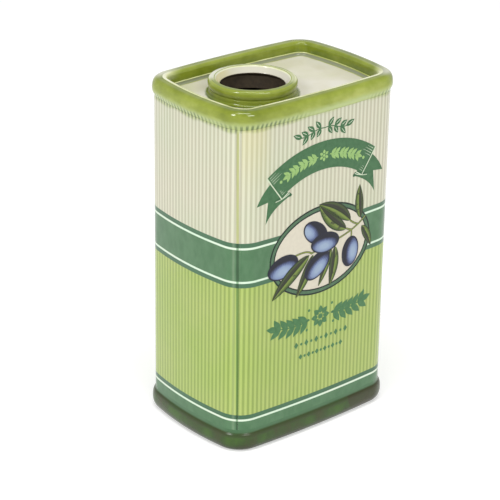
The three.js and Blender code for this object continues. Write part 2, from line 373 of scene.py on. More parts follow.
class Glaze:
    """A glossy material and the nodes that paint it."""

    def __init__(self, name, shine=0.5):
        self.material = bpy.data.materials.new(name)
        self.material.use_nodes = True
        self.nodes = self.material.node_tree.nodes
        self.links = self.material.node_tree.links
        self.shader = self.nodes["Principled BSDF"]
        self.feed(self.shader.inputs["Specular IOR Level"], shine)
        self.paint = None
        self.place = self.nodes.new("ShaderNodeTexCoord").outputs["Object"]

    def feed(self, socket, value):
        """Links a signal or an output to a socket, or sets a number or a colour code on it."""
        if isinstance(value, Signal):
            value = value.socket
        if isinstance(value, bpy.types.NodeSocket):
            self.links.new(value, socket)
        else:
            socket.default_value = colour(value) if isinstance(value, str) else value

    def node(self, kind, inputs, **settings):
        """A new node, with inputs fed by their names or places."""
        node = self.nodes.new("ShaderNode" + kind)
        for label, setting in settings.items():
            setattr(node, label, setting)
        for label, value in inputs.items():
            self.feed(node.inputs[label], value)
        return node

    def math(self, operation, a, b=0.0, clamp=False):
        node = self.node("Math", {0: a, 1: b}, operation=operation, use_clamp=clamp)
        return Signal(self, node.outputs[0])

    def mix(self, factor, a, b, blend="MIX"):
        node = self.node("Mix", {0: factor, 6: a, 7: b}, data_type="RGBA", blend_type=blend)
        return node.outputs[2]

    def coat(self, where, paint, blend="MIX"):
        """Puts a colour on top of the paint, as far as where says."""
        self.paint = self.mix(where, self.paint, paint, blend)

    def value(self, name):
        """A number that the mesh carries."""
        return Signal(self, self.node("Attribute", {}, attribute_name=name).outputs["Fac"])

    def axis(self, name):
        """One object coordinate, in millimetres."""
        return Signal(self, self.node("SeparateXYZ", {0: self.place}).outputs[name]) * (1 / MM)

    def noise(self, scale, detail, stretch=(1, 1, 1), seed=0):
        """Noise from 0 to 1. scale is features per millimetre."""
        shift = (seed, seed / 2, seed / 3)
        mapping = self.node("Mapping", {"Vector": self.place, "Scale": stretch, "Location": shift})
        source = {"Vector": mapping.outputs[0], "Scale": scale / MM, "Detail": detail}
        return Signal(self, self.node("TexNoise", source).outputs["Fac"])

    def bump(self, height, distance):
        """Relief of the given height, in millimetres. Calls add up."""
        node = self.node("Bump", {"Strength": 1.0, "Distance": distance * MM, "Height": height})
        normal = self.shader.inputs["Normal"]
        if normal.is_linked:
            self.feed(node.inputs["Normal"], normal.links[0].from_socket)
        self.feed(normal, node.outputs[0])

    def finish(self, gloss_low=0.08, gloss_high=0.2):
        """Sets the paint, the slow ripple of a poured glaze, its pinholes and its uneven gloss."""
        self.feed(self.shader.inputs["Base Color"], self.paint)
        ends = {"Value": self.noise(0.12, 2, seed=3), "To Min": gloss_low, "To Max": gloss_high}
        self.feed(self.shader.inputs["Roughness"], self.node("MapRange", ends).outputs[0])
        self.bump(self.noise(0.05, 1, seed=1), 0.35)
        self.bump(self.noise(1.6, 2, seed=2), 0.006)
        return self.material

    def lean(self, x, y):
        """How far a place is towards the front left corner, from -2 to 2, and how far it is
        across from that. x and y run from -1 to 1 over the can or the neck."""
        return (x + y) * -1.0, abs(x - y)

    def round_wrap(self):
        """How far round its wrap a place is, from 0 to 1."""
        return self.math("FRACT", self.value("along") / WRAP_LENGTH)

    def stripe(self):
        """1 on the dark stripes of the wrap, 0 between them. They are counted round the can."""
        count = self.round_wrap() * STRIPES_PER_WRAP + STRIPE_PHASE
        return self.math("PINGPONG", count, 0.5).ease(0.17, 0.33)

    def on_front(self, low, high, soft):
        """1 on the front between two distances from its middle, 0 elsewhere."""
        return self.axis("Y").ease(-30.0, -36.0) * self.axis("X").band(low, high, soft)

    def smeared(self):
        """1 in the middle of the front, where the glaze hides the tops of the stripes."""
        return self.on_front(-14.0, 36.0, 14.0)


def wrap_material():
    """Stripes in two grounds, the green bands and white lines, and the overlap at each seam."""
    glaze = Glaze("wrap_print")
    z = glaze.axis("Z")
    stripe = glaze.stripe()
    tone = glaze.noise(0.035, 2, seed=4)

    def ink(warm, cool):
        return tone.ramp((0.3, warm), (0.7, cool))

    upper = glaze.mix(stripe, ink("CAC8B2", "C4C7AE"), ink("B4AF9A", "AEB096"))
    lower = glaze.mix(stripe, ink("A6B564", "9FB45C"), ink("8A9B50", "839945"))
    middle = (UPPER_LINE + LOWER_LINE) / 2
    glaze.paint = glaze.mix(z.ease(middle - 0.1, middle + 0.1), lower, upper)
    mottle = glaze.noise(0.25, 4, stretch=(1, 1, 0.6), seed=5)
    green = mottle.ramp((0.35, "3F6943"), (0.65, "4A724D"))
    rule = ink("345E3F", "3C6646")
    bands = ((LOWER_LINE, UPPER_LINE, green), (FOOT_TOP - 1, BOTTOM_LINE, green),
             (UPPER_LINE, UPPER_LINE + RULE_WIDTH, rule), (LOWER_LINE - RULE_WIDTH, LOWER_LINE, rule),
             (BOTTOM_LINE, BOTTOM_LINE + RULE_WIDTH, rule))
    for low, high, filled in bands:
        glaze.coat(z.band(low, high, 0.1), filled)
    white = ink("D3DFCB", "C6DFC6")
    for height in (UPPER_LINE, LOWER_LINE, BOTTOM_LINE):
        glaze.coat(z.band(height - LINE_HALF, height + LINE_HALF, 0.12), white)
    # The overlap leans: it is further from the seam at the top. A faint pale strip beside it is a
    # painted highlight.
    short_of = (1.0 - glaze.round_wrap()) * WRAP_LENGTH
    off = short_of - (z * 0.0095 + 0.3)
    overlap = abs(off).ease(0.85, 0.4)
    over_cream = z.ease(UPPER_LINE + RULE_WIDTH - 0.1, UPPER_LINE + RULE_WIDTH + 0.1)
    doubled = glaze.mix(over_cream, "9CB89E", "D6DAA8")
    glaze.coat(overlap, doubled, "MULTIPLY")
    # Painted highlight: a faint pale strip beside the overlap.
    glaze.coat(off.band(1.4, 2.6, 0.6) * 0.09, "DDE2C8")
    # The rim's green glaze runs a little way down over the print.
    smeared = glaze.smeared()
    drip = glaze.noise(0.12, 2, seed=6) * -3.0 + (PRINT_TOP + 1.3) + smeared * 1.2
    run = z.ease(drip - 2.2, drip)
    tint = glaze.mix(stripe * (1.0 - smeared), "B2BC80", "727E52")
    glaze.coat(run * 0.85, tint)
    # Some of it spread over the corner of the front, thin and yellow.
    stain = short_of.band(WRAP_LENGTH - 14, WRAP_LENGTH + 9, 5.0) * z.ease(128.0, PRINT_TOP)
    glaze.coat(stain * 0.3, "C3BD72")
    glaze.bump(overlap, 0.05)
    return glaze.finish()


def green_glaze(glaze, thinning_and_reflection):
    """Paints green glaze: deep where it pools, and cream where it breaks over an edge. The last
    argument is how much paler it is, on top of what the mesh says: thinner glaze, and painted
    reflections where the caller adds them."""
    mottle = glaze.noise(0.14, 4, stretch=(1, 1, 1.6), seed=7)
    depth = mottle * 0.5 + glaze.value("glaze") - 0.24 - thinning_and_reflection
    glaze.paint = depth.ramp((0.0, "D9DABB"), (0.16, "CCCF98"), (0.34, "A5AC57"),
                             (0.6, "889437"), (0.8, "748025"), (1.0, "586818"))


def rim_material():
    """Green glaze, paled by painted reflections along the inner edge of the near sides and at the two
    side corners. Outside, the print shows through low down."""
    glaze = Glaze("rim_glaze")
    towards, across = glaze.lean(glaze.axis("X") / HALF_WIDTH, glaze.axis("Y") / HALF_DEPTH)
    # Painted reflections pale the inner edge of the sides nearest the front left corner, and the edges
    # at the two side corners.
    near = towards.ease(-0.1, 0.25)
    corner = across.ease(1.35, 1.75) * towards.band(-0.22, 0.6, 0.15)
    edge = glaze.value("edge")
    thinning_and_reflection = edge.ease(0.75, 0.95) * near * 0.44
    thinning_and_reflection = thinning_and_reflection + edge.ease(0.45, 0.85) * corner * 0.6
    # Nearest the front left corner, the glaze is painted deeper.
    thinning_and_reflection = thinning_and_reflection - towards.ease(1.3, 1.9) * 0.15
    # It is thinner along the right of the front, and thicker inside the right-hand end.
    thinning_and_reflection = thinning_and_reflection + glaze.on_front(8.0, 38.0, 8.0) * 0.12
    thinning_and_reflection = thinning_and_reflection - glaze.axis("X").ease(43.5, 45.5) * 0.1
    green_glaze(glaze, thinning_and_reflection)
    # At the side corners, whitish painted reflections lie outside the paled edge.
    white = across.ease(1.4, 1.75) * edge.ease(0.25, 0.5)
    white = white * towards.band(-0.5, 0.06, 0.14)
    glaze.coat(white * 0.7, "D3D2C6")
    # Painted shade: grey in the cove where the rim meets the deck.
    glaze.coat(edge.ease(-0.3, -0.9), "81866A")
    # Low down outside, the print shows through, with its stripes as dashes.
    uneven = glaze.noise(0.2, 2, seed=14) * 1.6 + glaze.axis("Z")
    fade = uneven.ease(PRINT_TOP + 5.4, PRINT_TOP + 2.2)
    dash = uneven.ease(PRINT_TOP + 4.2, PRINT_TOP + 1.8) * (1.0 - glaze.smeared())
    dash = dash * glaze.noise(0.04, 1, seed=16).ease(0.25, 0.6)
    under = glaze.mix(glaze.stripe() * dash, "AAB876", "68784A")
    glaze.coat(glaze.value("outer") * fade * 0.9, under)
    return glaze.finish(0.05, 0.16)


def neck_material():
    """Green glaze, paled and whitened by painted reflections on the lip's two sides, and by painted
    highlights in thin lines round its edges at the back.
    """
    glaze = Glaze("neck_glaze")
    x = (glaze.axis("X") - NECK_X) / NECK_RADIUS
    y = glaze.axis("Y") / NECK_RADIUS
    towards, across = glaze.lean(x, y)
    # Painted reflections on the lip's two sides and painted highlights along its edges at the back,
    # placed by where they lie from the front left corner.
    sides = across.ease(0.85, 1.25) * towards.ease(0.5, 0.05)
    back = towards.ease(0.6, -0.1)
    edge = glaze.value("edge")
    bare = glaze.math("MAXIMUM", edge.ease(0.6, 0.75) * back, edge.ease(0.25, 0.45) * sides)
    green_glaze(glaze, bare * 0.35)
    # The painted reflections and highlights are whiter towards the back left.
    left = (y - x).ease(0.6, 1.2)
    glaze.coat(bare * (left * 0.5 + 0.35), "CDCDBE")
    return glaze.finish(0.05, 0.16)


def foot_material():
    """Dark green glaze, browner along the top of the moulding, low down, and in one long patch
    at the right-hand end of the front."""
    glaze = Glaze("foot_glaze", shine=0.4)
    z = glaze.axis("Z")
    mottle = glaze.noise(0.09, 3, stretch=(1, 1, 0.5), seed=8)
    middle = mottle.ramp((0.34, "365613"), (0.5, "2F4716"), (0.66, "393B1C"))
    low = mottle.ramp((0.3, "24360E"), (0.7, "2A2712"))
    top = mottle.ramp((0.3, "32451F"), (0.7, "383A20"))
    glaze.paint = glaze.mix(z.ease(1.0, 5.5), low, middle)
    glaze.coat(z.ease(7.2, 9.0), top)
    warped = glaze.noise(0.12, 1, seed=18) * 12.0 + glaze.axis("X")
    patch = warped.ease(29.6, 30.4) * glaze.axis("Y").ease(-20.0, -26.0)
    glaze.coat(patch * 0.65, "332E19")
    green = mottle.ramp((0.35, "3D6540"), (0.65, "456C48"))
    glaze.coat(1.0 - glaze.value("glaze"), green)
    return glaze.finish(0.16, 0.3)


def cream_material():
    """Clear glaze on the pale body, with faint grey and green washes."""
    glaze = Glaze("cream_glaze")
    wash = glaze.noise(0.05, 3, seed=9)
    glaze.paint = wash.ramp((0.3, "D2CFC0"), (0.5, "CCC8B4"), (0.7, "C4C4A6"))
    # Green glaze creeps on to the deck from the rim and the neck. The same dark tint also paints the
    # shade round the neck's foot and along the rim's foot.
    creep_and_shade = glaze.noise(0.3, 3, seed=10) * 0.4 + glaze.value("glaze") - 0.2
    tint = creep_and_shade.ramp((0.25, "A8AF84"), (0.9, "5F7030"))
    glaze.coat(creep_and_shade.ease(0.2, 0.75), tint)
    return glaze.finish(0.1, 0.25)


def funnel_material():
    """The same clear glaze down the funnel, yellower where it ran and collected."""
    glaze = Glaze("funnel_glaze")
    wash = glaze.noise(0.09, 2, seed=15) * 12.0 + glaze.axis("X")
    yellow = wash.ease(NECK_X + 12, NECK_X - 10)
    glaze.paint = glaze.mix(yellow, "C4C1B0", "C6BE88")
    return glaze.finish(0.1, 0.25)


def shaded_inside_material():
    """The unglazed inside, matt: brown clay, darkened to paint the shade inside the can."""
    glaze = Glaze("inside_body_painted_shade")
    grain = glaze.noise(0.5, 4, seed=11)
    glaze.bump(grain, 0.1)
    glaze.paint = grain.ramp((0.3, "3E352A"), (0.7, "4E4333"))
    return glaze.finish(0.45, 0.7)


# ---------------- ceramic body

def base_foot(materials):
    """Floor slab, half-round moulding, and the flat ring that the can stands on."""
    middle, ring_inside, ring_outside, bulge = -12, -8.5, -2.8, 1.5
    path = Section(middle, FLOOR_UNDERSIDE)
    path.to((ring_inside - 1, FLOOR_UNDERSIDE))
    path.to((ring_inside, FLOOR_UNDERSIDE), (ring_inside, 0.3))
    path.to((ring_inside, 0), (ring_inside + 0.3, 0), steps=3)
    path.to((ring_outside, 0))
    path.to((0.2, 0), (bulge, 2.4), (bulge, 5.4), glaze=1.0, steps=12)
    path.to((bulge, 7.9), (1.1, 9.2), (0.3, 9.8), glaze=0.95, steps=12)
    path.to((0, 10.1), (-0.05, 10.6), glaze=0.1, steps=6)
    path.to((0, 11.2), glaze=0.0, steps=2)
    path.to((0, FOOT_TOP), glaze=0.0, steps=1)
    path.to((WALL_INSIDE, FOOT_TOP))
    path.to((-5, FLOOR_TOP), (-10, FLOOR_TOP))
    path.to((middle, FLOOR_TOP))
    piece = sweep("base_foot_moulding", path, materials, closed=False,
                  part=lambda x, z: int(x < -4 and z > FLOOR_UNDERSIDE + 1))
    stand_for(piece, "base_foot", "foot_glaze")


def body_walls(materials):
    """The four walls in one tube, with a shoulder inside the top that carries the deck."""
    shoulder = -10
    path = Section(BODY_FACE, FOOT_TOP, 0.0)
    path.to((BODY_FACE, WALL_TOP))
    path.to((shoulder, WALL_TOP))
    path.to((shoulder + 0.2, WALL_TOP - 4), (WALL_INSIDE, WALL_TOP - 6), (WALL_INSIDE, WALL_TOP - 11))
    path.to((WALL_INSIDE, FOOT_TOP))
    path.to((BODY_FACE, FOOT_TOP))
    piece = sweep("body_tube", path, materials, part=lambda x, z: int(x < BODY_FACE - 0.1))
    stand_for(piece, "body_walls", "cream_glaze")


def top_rim(materials):
    """The rolled rim: a bulge outside, a flat top, a steep inner face and a cove."""
    crest, bulge, seat = RIM_CREST, 1.1, -7.2
    path = Section(seat, WALL_TOP)
    path.to((BODY_FACE, WALL_TOP))
    path.to((BODY_FACE, PRINT_TOP))
    path.to((0, PRINT_TOP), glaze=0.75, steps=1)
    path.to((0.35, PRINT_TOP + 1.3), (bulge, PRINT_TOP + 1.9), (bulge, 174), glaze=0.55)
    # edge marks the top and inner edges for the painted reflections in rim_glaze.
    path.to((bulge, 177), (0.1, crest - 0.1), (-2.2, crest - 0.05), glaze=0.76, edge=0.5, steps=16)
    path.to((-4.0, crest), glaze=0.84, edge=0.5, steps=4)
    path.to((-4.2, crest), glaze=0.6, edge=1.0, steps=2)
    path.to((-5.1, crest), glaze=0.6, edge=1.0, steps=3)
    path.to((-6.2, crest - 0.1), (-6.7, crest - 1.2), glaze=0.7, edge=0.7, steps=10)
    path.to((-7.0, 176.0), (-7.05, 174.6), glaze=0.84, edge=0.1, steps=8)
    path.to((-7.07, 174.3), glaze=0.95, steps=2)
    path.to((-7.1, 174.2), glaze=0.2, steps=1)
    path.to((-7.15, 174.0), (-7.35, 173.95), glaze=0.2, steps=4)
    # edge -1 marks the cove, where rim_glaze paints shade.
    path.to((-7.45, 173.9), glaze=0.6, edge=-1.0, steps=1)
    path.to((-7.6, 173.0), (-8.1, 172.62), glaze=0.5, edge=-1.0, steps=4)
    path.to((-8.5, 172.52), (-9, DECK_TOP), glaze=0.2, edge=-0.2, steps=4)
    path.to((seat, DECK_TOP))
    path.to((seat, WALL_TOP))
    stand_for(sweep("rolled_rim", path, materials), "top_rim", "rim_glaze")


def top_deck(materials):
    """The sunken deck, with the hole under the neck. Its rings run from the rim to the hole on
    top, and back below. They are closer together near both."""
    rings, sag, neck_foot = 24, 0.35, 22.4
    shares = [(i / rings + 0.5 - 0.5 * math.cos(math.pi * i / rings)) / 2 for i in range(rings + 1)]
    path = [(t, DECK_TOP) for t in reversed(shares)] + [(t, WALL_TOP) for t in shares]
    by_rim = outline(-7.5)[:-1]
    centre = Vector((NECK_X, 0))
    glaze = []

    def ring(t, z):
        found = []
        for p in by_rim:
            q = (centre + (p - centre).normalized() * NECK_BORE).lerp(p, t)
            found.append((*q, z - sag * math.sin(math.pi * t) * (z > WALL_TOP)))
            from_neck = max(0.0, (q - centre).length - neck_foot)
            # Near the neck's foot and the rim, the glaze number tints the deck green: glaze creep, and
            # also painted shade.
            glaze.append(max(0.0, 0.9 - from_neck / 1.8, 0.6 - (p - q).length / 2.6))
        return found

    points, faces, chosen = tube(path, ring, lambda t, z: int(t == 0 or z == WALL_TOP))
    piece = make_mesh("sunken_deck", points, faces, {"glaze": glaze}, materials, chosen)
    stand_for(piece, "top_deck", "cream_glaze")


def neck_collar(materials):
    """Flared foot, thin ring, groove and heavy bead with a flat lip, and a funnel inside."""
    lip, base = NECK_LIP, DECK_TOP
    foot, ring, groove, bead, mouth = 22.5, 21.3, 21.0, 21.9, 16
    path = Section(NECK_BORE, base)
    path.to((foot, base), glaze=0.9, steps=1)
    path.to((foot - 1, base + 0.2), (ring, base + 1.2), glaze=0.85)
    path.to((ring, lip - 5.4), (ring - 0.1, lip - 5.1), glaze=0.65)
    path.to((groove, lip - 4.8), (groove + 0.2, lip - 4.5), glaze=0.85)
    path.to((bead, lip - 3.4), (bead, lip - 2.2), glaze=0.6, steps=10)
    # edge marks the lip's edges for the painted reflections and highlights in neck_glaze.
    path.to((bead, lip - 0.9), (21.3, lip - 0.35), glaze=0.62, edge=0.2, steps=8)
    path.to((21.1, lip - 0.22), glaze=0.6, edge=1.0, steps=2)
    path.to((20.8, lip - 0.08), (20.5, lip - 0.02), glaze=0.6, edge=1.0, steps=3)
    path.to((20.35, lip), glaze=0.85, edge=0.5, steps=1)
    path.to((20.0, lip), glaze=0.85, edge=0.5, steps=2)
    path.to((19.8, lip), glaze=0.8, edge=0.8, steps=1)
    path.to((19.0, lip), glaze=0.8, edge=0.8, steps=3)
    path.to((18.8, lip), glaze=0.7, edge=0.1, steps=1)
    path.to((18.5, lip), glaze=0.6, edge=0.1, steps=1)
    path.to((18.4, lip), (18.25, lip - 0.15), glaze=0.05, edge=0.8, steps=3)
    path.to((18.05, lip - 0.4), (17.95, lip - 0.6), glaze=0.0, steps=3)
    path.to((17.7, lip - 0.9), glaze=0.12, steps=2)
    path.to((mouth, lip - 3.1), glaze=0.06, steps=6)
    path.to((mouth - 0.2, lip - 3.5), (mouth + 0.3, lip - 3.9))
    path.to((NECK_BORE, lip - 4.4), (NECK_BORE, lip - 5.4))
    path.to((NECK_BORE, base))

    def part(radius, z):
        """0 outside, 1 in the funnel and 2 below it."""
        if radius < NECK_BORE + 0.1 and z < lip - 3.05:
            return 2
        return int(radius < 17.97 and z < lip - 0.55)

    piece = lathe("neck_ring", path, NECK_X, materials, part)
    stand_for(piece, "neck_collar", "rim_glaze")


def wraps(material):
    """Two printed wraps that meet at the front left and back right corners."""
    rows = 25
    bottom, top = FOOT_TOP, PRINT_TOP - 0.1
    clear = 0.02 / CORNER_RADIUS  # half the gap at a seam, as an angle
    for name, arcs, start in (("front", ARCS[:5], 0.0), ("back", ARCS[5:], WRAP_LENGTH)):
        centre, radius, begin, end, steps = arcs[0]
        first = (centre, radius, begin + clear, end, steps)
        centre, radius, begin, end, steps = arcs[-1]
        arcs = [first, *arcs[1:-1], (centre, radius, begin, end - clear, steps)]
        run = [start + r for r in distances(arcs)]
        points = []
        for offset in (0.0, -PRINT_THICKNESS):
            edge = outline(offset, arcs)
            for i in range(rows):
                z = bottom + (top - bottom) * i / (rows - 1)
                points += [(*p, z) for p in edge]
        values = {"along": run * (2 * rows)}
        piece = make_mesh(f"printed_wrap_{name}", points, film(rows, len(run)), values, [material])
        stand_for(piece, f"wrap_transfer_{name}", "wrap_print")


# ---------------- printed artwork

class Artwork:
    """Collects thin closed patches that lie on the bowed face, and makes one piece of them.
    Places are in elevation, (x, z). layer counts films above the wrap."""

    def __init__(self, name, node, slot, inks, *used):
        self.name, self.node, self.slot = name, node, slot
        self.materials = [inks[ink] for ink in used]
        self.points, self.faces, self.chosen = [], [], []
        self.run, self.side = [], []

    def patch(self, grid, layer, material=0, own=None):
        """A grid of points as a closed film. Its attributes run and side are the pairs in own,
        or else go from 0 to 1 and from -1 to 1 over the grid."""
        rows, width = len(grid), len(grid[0])
        first = len(self.points)
        for lift in ((layer + 1) * FILM, layer * FILM):
            radius = WIDE_RADIUS + lift
            for i, line in enumerate(grid):
                for j, (x, z) in enumerate(line):
                    depth = math.sqrt(radius ** 2 - x ** 2) - (WIDE_RADIUS - HALF_DEPTH)
                    self.points.append((x, -depth, z))
                    run, side = own[i][j] if own else (i / (rows - 1), 2 * j / (width - 1) - 1)
                    self.run.append(run)
                    self.side.append(side)
        (x0, z0), (x1, z1), (x2, z2) = grid[0][0], grid[0][1], grid[1][0]
        turn = -1 if (x1 - x0) * (z2 - z0) < (z1 - z0) * (x2 - x0) else 1
        faces = [tuple(first + q for q in face)[::turn] for face in film(rows, width)]
        self.faces += faces
        self.chosen += [material] * len(faces)

    def stroke(self, line, width, layer, material=0, taper=lambda t: 1.0, lanes=2):
        """A line of the given width. taper(t) scales the width from the start, 0, to the end, 1."""
        grid = []
        last = len(line) - 1
        for i, p in enumerate(line):
            ahead = line[min(i + 1, last)] - line[max(i - 1, 0)]
            normal = Vector((-ahead.y, ahead.x)).normalized()
            half = width / 2 * taper(i / last)
            grid.append([p + normal * half * (2 * j / lanes - 1) for j in range(lanes + 1)])
        self.patch(grid, layer, material)

    def disc(self, centre, long_half, short_half, tilt, layer, material=0, steps=16):
        """An ellipse, meshed as a square grid that is rounded off. Its attributes are its own
        coordinates, from -1 to 1 both ways."""
        turn = Matrix.Rotation(tilt, 2)
        ticks = [2 * i / steps - 1 for i in range(steps + 1)]
        own = [[(u * math.sqrt(1 - v * v / 2), v * math.sqrt(1 - u * u / 2)) for v in ticks]
               for u in ticks]
        grid = [[Vector(centre) + turn @ Vector((a * long_half, b * short_half)) for a, b in row]
                for row in own]
        self.patch(grid, layer, material, own)

    def dot(self, centre, radius, layer, material=0, steps=8):
        self.disc(centre, radius, radius, 0.0, layer, material, steps)

    def leaf(self, start, end, width, bend, layer, material=0, fullness=1.0):
        """A pointed leaf from its stalk to its tip. bend pushes its middle to the left."""
        start, end = Vector(start), Vector(end)
        across = Vector((start.y - end.y, end.x - start.x)).normalized()
        spine = bezier(start, (start + end) / 2 + across * bend, end, steps=18)

        def taper(t):
            return max(0.02, math.sin(math.pi * t ** 0.85) ** fullness)

        self.stroke(spine, width, layer, material, taper, lanes=8)

    def laurel(self, spine, pairs, length, width, layer, material=0):
        """A spray of paired leaves along a spine, with one more at its end."""
        last = len(spine) - 1
        lean = math.radians(44)
        self.stroke(spine, width * 0.3, layer, material, lambda t: 1.0 - 0.5 * t)
        for k in range(pairs):
            i = round(last * (k + 0.3) / pairs)
            root = spine[i]
            onwards = (spine[min(i + 1, last)] - spine[max(i - 1, 0)]).normalized()
            for side in (1, -1):
                tip = root + Matrix.Rotation(side * lean, 2) @ onwards * length
                self.leaf(root, tip, width, -0.1 * side * length, layer + 1, material)
        root, end = spine[-2:]
        tip = end + (end - root).normalized() * length * 0.8
        self.leaf(root, tip, width, 0.0, layer + 1, material)

    def rosette(self, centre, radius, petals, layer, material=0):
        """Petals round a dot."""
        for k in range(petals):
            angle = 2 * math.pi * k / petals + math.pi / 2
            away = Vector((math.cos(angle), math.sin(angle))) * radius
            self.leaf(centre + away * 0.3, centre + away, radius * 0.5, 0.0, layer, material)
        self.dot(centre, radius * 0.24, layer, material)

    def place(self):
        """Makes the piece on the front and its copy, turned half round, on the back."""
        values = {"run": self.run, "side": self.side}
        for where, turn in (("front", 1), ("back", -1)):
            points = [(turn * x, turn * y, z) for x, y, z in self.points]
            piece = make_mesh(f"{self.name}_{where}", points, self.faces, values, self.materials,
                              self.chosen)
            stand_for(piece, f"{self.node}_{where}", self.slot)


def mirrored(origin, flip):
    """A function that places (x, z) from an origin, to its right or, if flip is -1, to its left."""
    return lambda x, z: Vector((origin[0] + flip * x, origin[1] + z))


INK_SHINE = 0.3  # the artwork's ink is a little less glossy than the glaze round it


def ink_material(name, dark, light, hatch=0.0):
    """One flat ink, uneven as fired ink is, with a slightly darker edge and optional hatching."""
    glaze = Glaze(name, INK_SHINE)
    glaze.paint = glaze.noise(0.5, 4, seed=12).ramp((0.32, dark), (0.68, light))
    edge = abs(glaze.value("side")).ease(0.7, 1.0)
    glaze.coat(edge * 0.25, dark)
    if hatch:
        lines = glaze.math("PINGPONG", glaze.axis("Z") * hatch, 0.5)
        glaze.coat(lines.ease(0.3, 0.45) * 0.3, light)
    return glaze.finish()


def leaf_material():
    """A leaf drawn with one half in shade, a dark outline and midrib, and slanting hatching."""
    glaze = Glaze("leaf_ink", INK_SHINE)
    run, side = glaze.value("run"), glaze.value("side")
    away = abs(side)
    tone = away * 0.8 + run * 0.2
    light = tone.ramp((0.0, "41571F"), (0.3, "7C8E40"), (0.62, "4C6326"), (1.0, "2A3819"))
    shade = away.ramp((0.0, "343D1F"), (0.35, "2B2924"), (0.7, "445329"), (1.0, "1F2716"))
    streak = glaze.noise(0.25, 3, stretch=(1, 1, 2), seed=17)
    lit = side.ease(-0.05, 0.05) * streak.ease(0.3, 0.5)
    glaze.paint = glaze.mix(lit, shade, light)
    slant = glaze.math("PINGPONG", run * 22.0 + away * -5.0, 0.5)
    glaze.coat(slant.ease(0.3, 0.46) * 0.5, "28341B")
    glaze.coat(away.ease(0.12, 0.06), "1F2917")
    glaze.coat(away.ease(0.8, 0.9), "1E2A1B")
    return glaze.finish()


def olive_material(name, light_end):
    """A dark olive with a pale blue face low down, an outline, and a few hatched lines.
    light_end moves the pale face towards the left-hand end."""
    glaze = Glaze(name, INK_SHINE)
    run, side = glaze.value("run"), glaze.value("side")

    def distance(a, b):
        return glaze.math("SQRT", a * a + b * b)

    away = distance(run + light_end, (side + 0.34) * 1.2)
    grain = glaze.noise(0.6, 3, seed=13) * 0.16 + (away - 0.08)
    glaze.paint = grain.ramp((0.25, "8FA0B6"), (0.54, "7B8BAB"), (0.74, "525E84"),
                             (0.9, "2C314A"), (1.0, "171926"))
    rays = glaze.math("PINGPONG", run * 9.0, 0.5)
    hatch = rays.ease(0.3, 0.47) * away.band(0.62, 0.95, 0.1)
    glaze.coat(hatch * 0.5, "20253E")
    glaze.coat(distance(run, side).ease(0.86, 0.93), "191C2C")
    return glaze.finish()


def garland(inks):
    """Two small sprays that meet above the ribbon."""
    art = Artwork("garland_sprays", "garland_transfer", "green_print", inks, "green", "pale")
    leaves = (  # stalk and tip, on the right-hand spray
        ((2.4, 162.6), (5.8, 166.9)), ((2.4, 162.6), (4.9, 158.5)),
        ((6.3, 162.2), (10.9, 165.2)), ((6.3, 162.2), (8.7, 157.9)),
        ((10.2, 160.8), (14.6, 163.3)), ((10.2, 160.8), (13.8, 156.4)),
        ((14.0, 160.2), (19.5, 162.5)),
    )
    stem = ((0, 162.4), (7.0, 163.6), (9.5, 159.2), (15.0, 160.4))
    for flip in (1, -1):
        put = mirrored((0.2, 0), flip)
        art.stroke(bezier(*(put(*p) for p in stem), steps=20), 0.5, 1)
        for stalk, tip in leaves:
            root, end = put(*stalk), put(*tip)
            art.leaf(root, end, 2.7, 0.0, 2)
            art.stroke([root.lerp(end, 0.3 + 0.5 * i / 6) for i in range(7)], 0.26, 3, 1)
    art.place()


